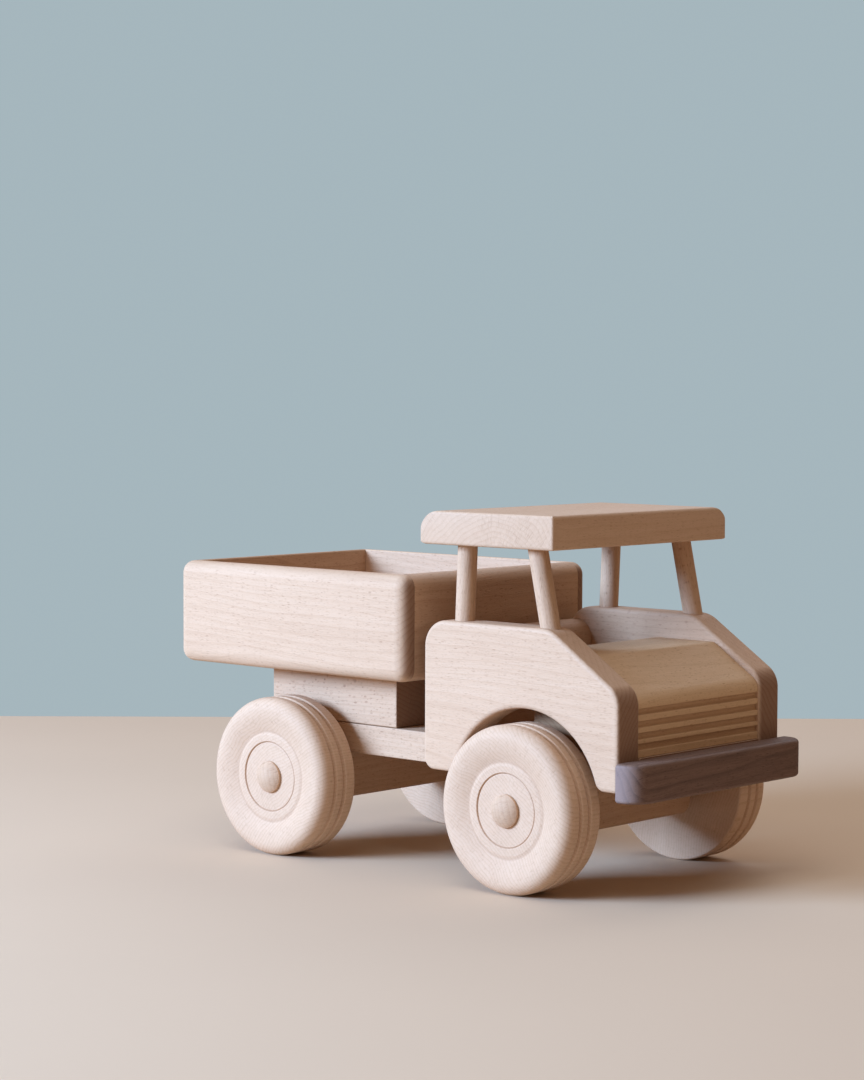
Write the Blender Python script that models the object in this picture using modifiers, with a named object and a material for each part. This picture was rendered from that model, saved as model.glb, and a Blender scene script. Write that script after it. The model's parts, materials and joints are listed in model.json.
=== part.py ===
"""Toy dump truck: oiled beech boards, blocks and dowels, with a walnut bumper.

Frame: +X to the hood, +Y to the truck's left, +Z up. The origin is on the ground, under the
middle of the truck's overall length. Lengths are in metres.

The cab is two shaped cheeks glued to the sides of the chassis board, with the hood block and
the seat back between them and a roof on four dowel posts. The wheels turn on mushroom-headed
pegs. The dump bed stands on a tipper block, whose lug turns on a pin in the chassis fork.
"""
from math import acos, atan, atan2, cos, hypot, pi, radians, sin, sqrt, tan

import bmesh
import bpy
from mathutils import Vector

# ---- driving dimensions ----
LENGTH = 0.3014              # bumper front to bed rear
GAP = 0.0003                 # clearance at a glued or resting face

WHEEL_RADIUS = 0.040
WHEEL_WIDTH = 0.0235         # inner face to the crest of the rounded rim
TRACK_WIDTH = 0.157          # over the crests of a pair of wheels
FRONT_AXLE_X = 0.080
WHEELBASE = 0.157

CHASSIS_BOTTOM = 0.05225
CHASSIS_TOP = 0.0670
CAB_INNER = 0.0472           # half the width between the cheeks
CHEEK_THICKNESS = 0.0163
CHEEK_REAR_X = 0.0166
CHEEK_FRONT_X = 0.1364
CHEEK_TOP = 0.1250
HOOD_ANGLE = radians(33.6)   # fall of the hood line towards the front

ROOF_X = (0.0178, 0.1009)
ROOF_HALF_WIDTH = 0.0680
ROOF_Z = (0.1618, 0.1780)
POST_RADIUS = 0.0048
# foot and head of the right-hand posts, at the cheek's top and the roof's underside
POSTS = {
    "rear": (0.0362, 0.0378),
    "front": (0.0895, 0.0815),
}

BED_LENGTH = 0.1605
BED_HALF_WIDTH = 0.0707
BED_Z = (0.0933, 0.1459)
BED_WALL = 0.0080
BED_EDGE_RADIUS = 0.0065
TIPPER_X = (-0.1041, -0.0167)

DOWEL_RADIUS = 0.0040        # axle pegs, hinge pin and bumper dowels
HINGE_MAX = radians(50.0)    # the chassis end is cut at this angle and stops the bed
LUG_HALF_WIDTH = 0.0127
LUG_RADIUS = 0.0070
LUG_TENON = 0.0120

# ---- sizes that follow ----
FRONT_X = LENGTH / 2
REAR_X = -LENGTH / 2
AXLE_Z = WHEEL_RADIUS
REAR_AXLE_X = FRONT_AXLE_X - WHEELBASE
WHEEL_INNER_Y = TRACK_WIDTH / 2 - WHEEL_WIDTH
BODY_HALF_WIDTH = CAB_INNER - GAP
DECK_Z = CHASSIS_TOP + GAP
BED_X = (REAR_X, REAR_X + BED_LENGTH)
HINGE_Z = (CHASSIS_BOTTOM + CHASSIS_TOP) / 2
END_RADIUS = (CHASSIS_TOP - CHASSIS_BOTTOM) / 2
HOLE_RADIUS = DOWEL_RADIUS + GAP
MERGE = 0.00001
WHEEL_STEPS = 36
DOWEL_STEPS = 24
# the chassis end is an arc about the hinge, then a flat at the stop angle that meets the
# bottom face under the tipper block's rear edge
HINGE_X = TIPPER_X[0] + END_RADIUS / tan(HINGE_MAX / 2)

BEECH = (0.62, 0.43, 0.28)
WALNUT = (0.085, 0.043, 0.026)

for old in list(bpy.data.objects):
    bpy.data.objects.remove(old, do_unlink=True)

PARTS = bpy.data.collections.new("toy_dump_truck")
CUTTERS = bpy.data.collections.new("cutters")
for collection in (PARTS, CUTTERS):
    bpy.context.scene.collection.children.link(collection)


# ---- outlines: lists of (a, b) points, counter-clockwise ----
def arc(centre, radius, start, end, steps):
    """Points on a circle from one angle to another, both ends included."""
    points = []
    for i in range(steps + 1):
        angle = start + (end - start) * i / steps
        points.append((centre[0] + radius * cos(angle), centre[1] + radius * sin(angle)))
    return points


def rounded(corners, steps=5):
    """An outline from (a, b, radius) corners, each rounded by an arc of its own radius."""
    points = []
    for i, (a, b, radius) in enumerate(corners):
        here = Vector((a, b))
        if radius == 0:
            points.append((a, b))
            continue
        before = (Vector(corners[i - 1][:2]) - here).normalized()
        after = (Vector(corners[(i + 1) % len(corners)][:2]) - here).normalized()
        half = acos(max(-1.0, min(1.0, before.dot(after)))) / 2
        centre = here + (before + after).normalized() * radius / sin(half)
        reach = radius / tan(half)
        first = here + before * reach - centre
        last = here + after * reach - centre
        start = atan2(first.y, first.x)
        turn = (atan2(last.y, last.x) - start + pi) % (2 * pi) - pi
        points += arc(centre, radius, start, start + turn, steps)
    return points


# ---- objects ----
def wood(name, colour, roughness):
    """A plain wood material of one piece."""
    material = bpy.data.materials.new(name)
    material.use_nodes = True
    shader = material.node_tree.nodes["Principled BSDF"]
    shader.inputs["Base Color"].default_value = (*colour, 1.0)
    shader.inputs["Roughness"].default_value = roughness
    shader.inputs["Metallic"].default_value = 0.0
    material.diffuse_color = (*colour, 1.0)
    return material


def add_object(name, mesh, collection, tint=1.0, species=BEECH):
    """Link a mesh object; a part gets a material of its own, a cutter is a hidden wire."""
    obj = bpy.data.objects.new(name, mesh)
    collection.objects.link(obj)
    if collection is CUTTERS:
        obj.hide_render = True
        obj.display_type = "WIRE"
    else:
        colour = [channel * tint for channel in species]
        mesh.materials.clear()
        mesh.materials.append(wood(name, colour, 0.5))
    return obj


def place(obj, location, rotation=(0.0, 0.0, 0.0), pivot=None):
    """Put an object at a world location; a piece of a moving group hangs from its pivot."""
    obj.rotation_euler = rotation
    obj.location = location
    if pivot is not None:
        obj.parent = pivot
        obj.location = Vector(location) - pivot.location
    return obj


# rotations that stand an outline up: its (a, b) plane becomes XZ or YZ
TO_XZ = (pi / 2, 0.0, 0.0)
TO_YZ = (pi / 2, 0.0, pi / 2)
FLAT = (0.0, 0.0, 0.0)


def board_mesh(name, outline, thickness):
    """A flat outline with thickness, centred on its own plane, as a welded mesh."""
    curve = bpy.data.curves.new(name, "CURVE")
    curve.dimensions = "2D"
    curve.fill_mode = "BOTH"
    curve.extrude = thickness / 2
    spline = curve.splines.new("POLY")
    spline.points.add(len(outline) - 1)
    for point, (a, b) in zip(spline.points, outline):
        point.co = (a, b, 0.0, 1.0)
    spline.use_cyclic_u = True
    holder = bpy.data.objects.new(name, curve)
    bpy.context.scene.collection.objects.link(holder)
    bpy.context.view_layer.update()
    evaluated = holder.evaluated_get(bpy.context.evaluated_depsgraph_get())
    mesh = bpy.data.meshes.new_from_object(evaluated)
    mesh.name = name
    bpy.data.objects.remove(holder, do_unlink=True)
    bpy.data.curves.remove(curve)
    shape = bmesh.new()
    shape.from_mesh(mesh)
    bmesh.ops.remove_doubles(shape, verts=shape.verts, dist=MERGE)
    bmesh.ops.dissolve_limit(shape, angle_limit=radians(0.1), verts=shape.verts, edges=shape.edges)
    bmesh.ops.recalc_face_normals(shape, faces=shape.faces)
    shape.to_mesh(mesh)
    shape.free()
    return mesh


def board(name, outline, thickness, location, rotation, collection=PARTS, pivot=None, **look):
    """A piece or cutter cut from a flat outline."""
    obj = add_object(name, board_mesh(name, outline, thickness), collection, **look)
    return place(obj, location, rotation, pivot)


def box(name, low, high, collection=PARTS, pivot=None, **look):
    """A rectangular block between two corners."""
    mesh = bpy.data.meshes.new(name)
    shape = bmesh.new()
    bmesh.ops.create_cube(shape, size=1.0)
    size = [b - a for a, b in zip(low, high)]
    bmesh.ops.scale(shape, vec=size, verts=shape.verts)
    shape.to_mesh(mesh)
    shape.free()
    middle = [(a + b) / 2 for a, b in zip(low, high)]
    return place(add_object(name, mesh, collection, **look), middle, pivot=pivot)


def dowel(name, start, end, radius, collection=PARTS, pivot=None, **look):
    """A round rod between two points."""
    start = Vector(start)
    end = Vector(end)
    mesh = bpy.data.meshes.new(name)
    shape = bmesh.new()
    bmesh.ops.create_cone(
        shape, cap_ends=True, segments=DOWEL_STEPS, radius1=radius, radius2=radius,
        depth=(end - start).length)
    shape.to_mesh(mesh)
    shape.free()
    obj = add_object(name, mesh, collection, **look)
    turn = (end - start).to_track_quat("Z", "Y").to_euler()
    place(obj, (start + end) / 2, turn, pivot)
    shade(obj)
    return obj


def turned(name, profile, steps, location, side, closed=False, **look):
    """A lathe-turned piece whose axis lies along Y and points outboard."""
    mesh = bpy.data.meshes.new(name)
    shape = bmesh.new()
    verts = [shape.verts.new((r, 0.0, h)) for r, h in profile]
    for first, second in zip(verts, verts[1:]):
        shape.edges.new((first, second))
    if closed:
        shape.edges.new((verts[-1], verts[0]))
    shape.to_mesh(mesh)
    shape.free()
    obj = add_object(name, mesh, PARTS, **look)
    screw = obj.modifiers.new("turning", "SCREW")
    screw.steps = steps
    screw.render_steps = steps
    screw.use_merge_vertices = True
    screw.merge_threshold = MERGE
    screw.use_smooth_shade = True
    return place(obj, location, (-side * pi / 2, 0.0, 0.0))


def shade(obj):
    """Smooth shading with the sharp edges kept."""
    obj.data.shade_smooth()
    obj.data.set_sharp_from_angle(angle=radians(40))


def bevel(obj, width, segments=3):
    """Round over the edges that turn by more than 60 degrees."""
    modifier = obj.modifiers.new("round over", "BEVEL")
    modifier.width = width
    modifier.segments = segments
    modifier.limit_method = "ANGLE"
    modifier.angle_limit = radians(60)
    return modifier


def boolean(obj, tool, operation="DIFFERENCE"):
    """Cut a piece with another solid, or keep only what they share."""
    modifier = obj.modifiers.new(tool.name, "BOOLEAN")
    modifier.operation = operation
    modifier.object = tool
    modifier.solver = "EXACT"
    return modifier


# ---- running gear ----
def axle_block(name, axle_x, **look):
    """A cross beam under the chassis with a blind hole for a peg in each end."""
    half_length = 0.0140
    half_width = 0.0489
    low = 0.0263
    high = CHASSIS_BOTTOM - GAP
    end_radius = 0.0060
    peg_depth = 0.0272
    outline = rounded([
        (-half_width, low, end_radius),
        (half_width, low, end_radius),
        (half_width, high, 0),
        (-half_width, high, 0),
    ])
    block = board(name, outline, 2 * half_length, (axle_x, 0.0, 0.0), TO_YZ, **look)
    for side, hand in ((-1, "right"), (1, "left")):
        outer = side * (half_width + 0.005)
        inner = side * (half_width - peg_depth)
        hole = dowel(
            f"{name}_{hand}_hole", (axle_x, outer, AXLE_Z), (axle_x, inner, AXLE_Z),
            HOLE_RADIUS, CUTTERS)
        boolean(block, hole)
    return block


def wheel_profile():
    """Radius against distance out from the inner face, clockwise round the section."""
    rim = 0.0060                 # radius of the round shoulder
    face = 0.0208                # height of the middle of the outer face
    ring_radius = 0.0220
    bead_radius = 0.0180
    bead_height = 0.0008
    groove = 0.0008              # half width and depth of the turned grooves
    boss_radius = 0.0120
    boss_height = 0.0054
    foot = 0.0010
    crest_radius = WHEEL_RADIUS - rim
    profile = [(HOLE_RADIUS, face), (bead_radius - 2 * groove, face)]
    profile.append((bead_radius - groove, face - groove))
    profile.append((bead_radius, face + bead_height))
    profile.append((ring_radius - groove, face + bead_height))
    profile.append((ring_radius, face - groove / 2))
    dish_run = crest_radius - ring_radius
    dish_rise = WHEEL_WIDTH - face
    for i in range(1, 3):
        t = i / 3
        profile.append((ring_radius + dish_run * t, face + dish_rise * sin(t * pi / 2)))
    shoulder = (crest_radius, WHEEL_WIDTH - rim)
    profile += [(r, h) for r, h in arc(shoulder, rim, pi / 2, 0.0, 5)]
    for height in (0.0152, 0.0092):
        profile.append((WHEEL_RADIUS, height + groove))
        profile.append((WHEEL_RADIUS - groove, height))
        profile.append((WHEEL_RADIUS, height - groove))
    profile += [(WHEEL_RADIUS, foot), (WHEEL_RADIUS - foot, 0.0), (boss_radius, 0.0)]
    profile += [(boss_radius, -boss_height), (HOLE_RADIUS, -boss_height)]
    return profile


def peg_profile():
    """A mushroom-headed peg: the domed head outboard, the shank into the axle block."""
    head_radius = 0.0080
    head_height = 0.0042
    head_under = 0.0213
    rim = 0.0009
    shank_end = -0.0330
    sphere = (head_radius ** 2 + (head_height - rim) ** 2) / (2 * (head_height - rim))
    top = head_under + head_height
    edge_angle = atan(head_radius / sqrt(sphere ** 2 - head_radius ** 2))
    dome = arc((0.0, top - sphere), sphere, pi / 2, pi / 2 - edge_angle, 4)
    dome[0] = (0.0, top)
    under = [(head_radius, head_under), (DOWEL_RADIUS, head_under)]
    shank = [(DOWEL_RADIUS, shank_end + rim), (DOWEL_RADIUS - rim, shank_end), (0.0, shank_end)]
    return dome + under + shank


def running_gear():
    """Axle blocks, pegs and wheels; each wheel's origin lies on its own axis."""
    for end, axle_x, tint in (("front", FRONT_AXLE_X, 0.97), ("rear", REAR_AXLE_X, 1.0)):
        axle_block(f"{end}_axle_block", axle_x, tint=tint)
        for side, hand in ((-1, "right"), (1, "left")):
            centre = (axle_x, side * WHEEL_INNER_Y, AXLE_Z)
            turned(
                f"{end}_{hand}_wheel", wheel_profile(), WHEEL_STEPS, centre, side, closed=True,
                tint=1.02)
            turned(f"{end}_{hand}_axle_peg", peg_profile(), DOWEL_STEPS, centre, side, tint=1.05)


# ---- chassis and hinge ----
def chassis():
    """The long board, with a notch at the rear for the lug and a stop flat at its end."""
    bottom_rear = (TIPPER_X[0], CHASSIS_BOTTOM)
    end_arc = arc((HINGE_X, HINGE_Z), END_RADIUS, pi / 2, pi / 2 + HINGE_MAX, 8)
    outline = [bottom_rear, (CHEEK_FRONT_X, CHASSIS_BOTTOM), (CHEEK_FRONT_X, CHASSIS_TOP)]
    outline += end_arc
    deck = board(
        "chassis_board", outline, 2 * BODY_HALF_WIDTH, (0.0, 0.0, 0.0), TO_XZ, tint=0.99)
    over = 0.005
    notch_half = LUG_HALF_WIDTH + GAP
    notch = box(
        "hinge_notch", (TIPPER_X[0] - over, -notch_half, CHASSIS_BOTTOM - over),
        (HINGE_X + LUG_RADIUS + GAP, notch_half, CHASSIS_TOP + over), CUTTERS)
    boolean(deck, notch)
    reach = BODY_HALF_WIDTH + over
    pin_hole = dowel(
        "pin_hole", (HINGE_X, -reach, HINGE_Z), (HINGE_X, reach, HINGE_Z), HOLE_RADIUS, CUTTERS)
    boolean(deck, pin_hole)
    dowel(
        "hinge_pin", (HINGE_X, -BODY_HALF_WIDTH, HINGE_Z), (HINGE_X, BODY_HALF_WIDTH, HINGE_Z),
        DOWEL_RADIUS, tint=1.08)
    return deck


def bumper(deck):
    """The walnut bar across the front, held by two hidden dowels in the chassis end."""
    half_width = 0.0670
    end_radius = 0.0105
    back_radius = 0.0020
    back_x = CHEEK_FRONT_X + GAP
    low = 0.0486
    high = 0.0668
    outline = rounded([
        (back_x, -half_width, back_radius),
        (FRONT_X, -half_width, end_radius),
        (FRONT_X, half_width, end_radius),
        (back_x, half_width, back_radius),
    ], steps=8)
    bar = board(
        "bumper", outline, high - low, (0.0, 0.0, (low + high) / 2), FLAT, species=WALNUT)
    bevel(bar, 0.0018, segments=2)
    dowel_y = 0.0300
    dowel_x = (0.1240, 0.1460)
    for side, hand in ((-1, "right"), (1, "left")):
        start = Vector((dowel_x[0], side * dowel_y, HINGE_Z))
        end = Vector((dowel_x[1], side * dowel_y, HINGE_Z))
        slack = Vector((GAP, 0.0, 0.0))
        hole = dowel(
            f"bumper_{hand}_dowel_hole", start - slack, end + slack, HOLE_RADIUS, CUTTERS)
        boolean(bar, hole)
        boolean(deck, hole)
        dowel(f"bumper_{hand}_dowel", start, end, DOWEL_RADIUS, tint=1.08)
    return bar


# ---- cab ----
def cheek_outline():
    """The cheek's side view: rear, wheel arch, grille edge, hood slope and top."""
    arch_centre = (FRONT_AXLE_X, 0.0420)
    arch_radius = 0.0446
    lip = 0.0055                 # radius where the arch meets the bottom edge
    drop = CHASSIS_BOTTOM + lip - arch_centre[1]
    offset = sqrt((arch_radius + lip) ** 2 - drop ** 2)
    tilt = atan2(drop, offset)
    nose_z = CHEEK_TOP - (CHEEK_FRONT_X - 0.0949) * tan(HOOD_ANGLE)
    rear_lip = (arch_centre[0] - offset, CHASSIS_BOTTOM + lip)
    front_lip = (arch_centre[0] + offset, CHASSIS_BOTTOM + lip)
    outline = arc(rear_lip, lip, -pi / 2, -tilt, 5)
    outline += arc(arch_centre, arch_radius, pi - tilt, tilt, 20)[1:-1]
    outline += arc(front_lip, lip, pi + tilt, 3 * pi / 2, 5)
    corners = [
        (CHEEK_FRONT_X, CHASSIS_BOTTOM, 0.0022),
        (CHEEK_FRONT_X, nose_z, 0.0120),
        (0.0949, CHEEK_TOP, 0.0160),
        (CHEEK_REAR_X, CHEEK_TOP, 0.0130),
        (CHEEK_REAR_X, CHASSIS_BOTTOM, 0.0060),
    ]
    # the first and last corners are rounded against their neighbours on the bottom edge
    guide = [(front_lip[0], CHASSIS_BOTTOM, 0)] + corners + [(rear_lip[0], CHASSIS_BOTTOM, 0)]
    return outline + rounded(guide, steps=6)[1:-1]


def post_line(foot_x, head_x, side, below, above):
    """Ends of a post's axis, run on into the cheek below and the roof above."""
    y = side * (CAB_INNER + CHEEK_THICKNESS / 2)
    foot = Vector((foot_x, y, CHEEK_TOP))
    head = Vector((head_x, y, ROOF_Z[0]))
    along = (head - foot).normalized()
    return foot - along * below, head + along * above


def cab():
    """Cheeks, hood, seat back, posts and roof."""
    cheeks = {}
    for side, hand, tint in ((-1, "right", 1.0), (1, "left", 1.02)):
        middle = side * (CAB_INNER + CHEEK_THICKNESS / 2)
        cheeks[hand] = board(
            f"{hand}_cheek", cheek_outline(), CHEEK_THICKNESS, (0.0, middle, 0.0), TO_XZ,
            tint=tint)
        bevel(cheeks[hand], 0.0020, segments=2)
    top = roof()
    blind = 0.0080
    for end, (foot_x, head_x) in POSTS.items():
        for side, hand in ((-1, "right"), (1, "left")):
            start, finish = post_line(foot_x, head_x, side, blind, blind)
            dowel(f"{end}_{hand}_post", start, finish, POST_RADIUS, tint=1.03)
            start, finish = post_line(foot_x, head_x, side, blind + GAP, blind + GAP)
            hole = dowel(
                f"{end}_{hand}_post_hole", start, finish, POST_RADIUS + GAP, CUTTERS)
            boolean(cheeks[hand], hole)
            boolean(top, hole)
    hood()
    seat_back()


def hood():
    """The engine block: flat top, sloping hood and a grille face with four round grooves."""
    front = 0.1353
    rear = 0.0730
    flat_top = 0.1125
    slope_start = 0.1087
    nose_radius = 0.0095
    groove_radius = 0.0014
    grooves = (0.0721, 0.0771, 0.0826, 0.0884)
    nose_z = flat_top - (front - slope_start) * tan(HOOD_ANGLE)
    outline = [(rear, DECK_Z), (front, DECK_Z)]
    for height in grooves:
        outline += arc((front, height), groove_radius, 3 * pi / 2, pi / 2, 6)
    top = rounded([
        (front, grooves[-1], 0),
        (front, nose_z, nose_radius),
        (slope_start, flat_top, 0.0040),
        (rear, flat_top, 0.0015),
        (rear, DECK_Z, 0),
    ])
    outline += top[1:-1]
    board("hood_block", outline, 2 * BODY_HALF_WIDTH, (0.0, 0.0, 0.0), TO_XZ, tint=0.98)


def seat_back():
    """The upright block at the back of the cab, its front edge rounded."""
    front = 0.0314
    top = 0.1183
    outline = rounded([
        (CHEEK_REAR_X, DECK_Z, 0),
        (front, DECK_Z, 0),
        (front, top, 0.0085),
        (CHEEK_REAR_X, top, 0.0030),
    ])
    board("seat_back", outline, 2 * BODY_HALF_WIDTH, (0.0, 0.0, 0.0), TO_XZ, tint=0.98)


def roof():
    """The roof board: round rear and left top edges, crisp front and right ones."""
    low, high = ROOF_Z
    small = 0.0020
    rear_round = 0.0120
    side_round = 0.0130
    side_view = rounded([
        (ROOF_X[0], low, small),
        (ROOF_X[1], low, small),
        (ROOF_X[1], high, small),
        (ROOF_X[0], high, rear_round),
    ], steps=6)
    front_view = rounded([
        (-ROOF_HALF_WIDTH, low, small),
        (ROOF_HALF_WIDTH, low, small),
        (ROOF_HALF_WIDTH, high, side_round),
        (-ROOF_HALF_WIDTH, high, small),
    ], steps=6)
    over = 0.010
    top = board(
        "roof", side_view, 2 * (ROOF_HALF_WIDTH + over), (0.0, 0.0, 0.0), TO_XZ, tint=1.0)
    form = board(
        "roof_form", front_view, LENGTH, (ROOF_X[0], 0.0, 0.0), TO_YZ, CUTTERS)
    boolean(top, form, "INTERSECT")
    return top


# ---- dump bed ----
def dump_bed():
    """The open box, its tipper block and hinge lug, all hung from a pivot on the hinge axis."""
    pivot = bpy.data.objects.new("dump_bed_pivot", None)
    pivot.location = (HINGE_X, 0.0, HINGE_Z)
    PARTS.objects.link(pivot)
    bpy.context.view_layer.update()

    rear, front = BED_X
    low, high = BED_Z
    form = box(
        "bed_form", (rear, -BED_HALF_WIDTH, low), (front, BED_HALF_WIDTH, high), CUTTERS,
        pivot=pivot)
    bevel(form, BED_EDGE_RADIUS, segments=5)
    over = 0.002
    inner = BED_HALF_WIDTH - BED_WALL
    for side, hand, tint in ((-1, "right", 1.0), (1, "left", 1.03)):
        near = min(side * inner, side * (BED_HALF_WIDTH + over))
        far = max(side * inner, side * (BED_HALF_WIDTH + over))
        panel = box(
            f"bed_{hand}_side", (rear - over, near, low - over), (front + over, far, high + over),
            pivot=pivot, tint=tint)
        boolean(panel, form, "INTERSECT")
    span = inner - GAP
    for end, x0, x1, tint in (
            ("front", front - BED_WALL, front + over, 0.96),
            ("rear", rear - over, rear + BED_WALL, 1.01)):
        wall = box(
            f"bed_{end}_wall", (x0, -span, low - over), (x1, span, high + over), pivot=pivot,
            tint=tint)
        boolean(wall, form, "INTERSECT")
    box(
        "bed_floor", (rear + BED_WALL + GAP, -span, low),
        (front - BED_WALL - GAP, span, low + BED_WALL), pivot=pivot, tint=0.98)

    block = box(
        "tipper_block", (TIPPER_X[0], -BODY_HALF_WIDTH, DECK_Z),
        (TIPPER_X[1], BODY_HALF_WIDTH, low - GAP), pivot=pivot, tint=0.99)
    bevel(block, 0.0008, segments=2)
    mortise_x = LUG_RADIUS + GAP
    mortise_y = LUG_HALF_WIDTH + GAP
    mortise = box(
        "lug_mortise", (HINGE_X - mortise_x, -mortise_y, DECK_Z - over),
        (HINGE_X + mortise_x, mortise_y, DECK_Z + LUG_TENON + GAP), CUTTERS, pivot=pivot)
    boolean(block, mortise)

    outline = arc((0.0, 0.0), LUG_RADIUS, -pi, 0.0, 16)
    tenon_top = DECK_Z + LUG_TENON - HINGE_Z
    outline += [(LUG_RADIUS, tenon_top), (-LUG_RADIUS, tenon_top)]
    lug = board(
        "hinge_lug", outline, 2 * LUG_HALF_WIDTH, (HINGE_X, 0.0, HINGE_Z), TO_XZ, pivot=pivot,
        tint=1.05)
    reach = LUG_HALF_WIDTH + over
    bore = dowel(
        "lug_bore", (HINGE_X, -reach, HINGE_Z), (HINGE_X, reach, HINGE_Z), HOLE_RADIUS, CUTTERS,
        pivot=pivot)
    boolean(lug, bore)


running_gear()
bumper(chassis())
cab()
dump_bed()
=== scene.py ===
"""Looks of the toy dump truck: softly rounded, lightly oiled beech and a walnut bumper.

Each piece of the frame is replaced by a finer one of the same size, except the two hidden bumper
dowels, which keep their CAD solids. Boards are outlines with rounded rims, wheels and pegs are
turned profiles, and the bed is one rounded box sawn into its panels. Every piece has its own cut
of the same solid wood texture, with the grain, growth rings, ray flecks and end grain running the
way that piece was sawn.
"""
import json
from math import acos, asin, atan2, cos, pi, radians, sin, sqrt, tan

import bmesh
import bpy
from mathutils import Matrix, Vector


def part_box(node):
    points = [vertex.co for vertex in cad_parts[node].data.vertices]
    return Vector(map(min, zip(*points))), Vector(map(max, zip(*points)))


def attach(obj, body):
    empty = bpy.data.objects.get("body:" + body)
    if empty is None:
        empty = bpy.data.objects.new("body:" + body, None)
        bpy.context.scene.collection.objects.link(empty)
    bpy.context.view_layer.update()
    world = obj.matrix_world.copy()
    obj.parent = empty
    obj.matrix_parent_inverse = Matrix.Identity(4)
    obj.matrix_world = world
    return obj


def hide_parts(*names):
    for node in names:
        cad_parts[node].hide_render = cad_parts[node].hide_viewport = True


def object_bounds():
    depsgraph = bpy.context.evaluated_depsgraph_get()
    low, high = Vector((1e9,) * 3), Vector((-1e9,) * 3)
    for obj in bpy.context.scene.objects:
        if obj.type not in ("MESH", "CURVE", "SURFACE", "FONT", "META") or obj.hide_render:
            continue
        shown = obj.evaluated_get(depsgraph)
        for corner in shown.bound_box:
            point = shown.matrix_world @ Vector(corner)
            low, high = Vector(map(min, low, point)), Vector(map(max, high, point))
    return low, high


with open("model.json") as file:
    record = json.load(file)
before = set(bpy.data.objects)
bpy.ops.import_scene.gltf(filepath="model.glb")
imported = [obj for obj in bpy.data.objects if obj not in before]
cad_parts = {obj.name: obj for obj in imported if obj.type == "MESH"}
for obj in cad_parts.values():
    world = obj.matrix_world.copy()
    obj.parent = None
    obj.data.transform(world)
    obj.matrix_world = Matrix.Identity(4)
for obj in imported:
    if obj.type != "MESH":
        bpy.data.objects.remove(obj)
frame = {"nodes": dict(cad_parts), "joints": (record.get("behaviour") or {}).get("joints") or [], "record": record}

CAD_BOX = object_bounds()
BODY_OF = {
    node: body
    for body, nodes in frame["record"]["behaviour"]["bodies"].items()
    for node in nodes
}
JOINTS = {joint["name"]: joint for joint in frame["joints"]}
HANDS = ((-1, "right"), (1, "left"))    # each side of the truck, by the sign of its Y
ENDS = ("front", "rear")

# ---- shape details that the boxes of the frame don't give, in metres and radians ----
GAP = 0.0003                 # clearance at a joint line
GLUED = 0.0001               # clearance round a glued dowel and at a glued end
TIGHT = GAP - GLUED          # how much a glued end is longer than its node's box
PEG_RADIUS = 0.0040          # shank of an axle peg
WHEEL_BORE = PEG_RADIUS + GAP
WHEEL_WIDTH = 0.0235         # without the boss on its inner side
CHEEK_EDGE = 0.0020
HOOD_ANGLE = radians(33.6)
BED_EDGE = 0.0065
HINGE_MAX = radians(JOINTS["bed_tip"]["range_deg"][1])
SHARPEST_SMOOTH = radians(35)    # an edge that bends more than this is shaded crisp
CAMERA_AZIMUTH = radians(42.22)


# ---- outlines: lists of (a, b) points, counter-clockwise ----
def arc(centre, radius, start, end, steps):
    """Points on a circle from one angle to another, both ends included."""
    points = []
    for i in range(steps + 1):
        angle = start + (end - start) * i / steps
        points.append((centre[0] + radius * cos(angle), centre[1] + radius * sin(angle)))
    return points


def rounded(corners, steps=10):
    """An outline from (a, b, radius) corners, each rounded by an arc of its own radius."""
    points = []
    for i, (a, b, radius) in enumerate(corners):
        here = Vector((a, b))
        if radius == 0:
            points.append((a, b))
            continue
        before = (Vector(corners[i - 1][:2]) - here).normalized()
        after = (Vector(corners[(i + 1) % len(corners)][:2]) - here).normalized()
        half = acos(max(-1.0, min(1.0, before.dot(after)))) / 2
        centre = here + (before + after).normalized() * radius / sin(half)
        reach = radius / tan(half)
        first = here + before * reach - centre
        last = here + after * reach - centre
        start = atan2(first.y, first.x)
        turn = (atan2(last.y, last.x) - start + pi) % (2 * pi) - pi
        points += arc(centre, radius, start, start + turn, steps)
    return points


def scallop(centre, radius, lip, depth, steps, lip_steps=6):
    """A round hollow with rounded lips in an edge that runs along +a, the material above it.

    depth is how far the edge lies above the hollow's centre.
    """
    drop = depth + lip
    offset = sqrt((radius + lip) ** 2 - drop ** 2)
    tilt = atan2(drop, offset)
    edge = centre[1] + drop
    points = arc((centre[0] - offset, edge), lip, -pi / 2, -tilt, lip_steps)
    points += arc(centre, radius, pi - tilt, tilt, steps)[1:-1]
    points += arc((centre[0] + offset, edge), lip, pi + tilt, 3 * pi / 2, lip_steps)
    return points


# ---- meshes ----
AXES = {
    "X": lambda a, b, level: (level, a, b),
    "Y": lambda a, b, level: (a, level, b),
    "Z": lambda a, b, level: (a, b, level),
}


def new_object(name, shape):
    """An object from a finished bmesh, its faces turned outwards."""
    bmesh.ops.recalc_face_normals(shape, faces=shape.faces)
    mesh = bpy.data.meshes.new(name)
    shape.to_mesh(mesh)
    shape.free()
    obj = bpy.data.objects.new(name, mesh)
    bpy.context.scene.collection.objects.link(obj)
    return obj


def outline_normals(outline):
    """Outward normals of an outline, lengthened at a corner so that an inset stays parallel."""
    normals = []
    for i, point in enumerate(outline):
        here = Vector(point)
        before = (here - Vector(outline[i - 1])).normalized()
        after = (Vector(outline[(i + 1) % len(outline)]) - here).normalized()
        total = Vector((before.y + after.y, -before.x - after.x))
        normals.append(total * 2 / total.length_squared)
    return normals


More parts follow.
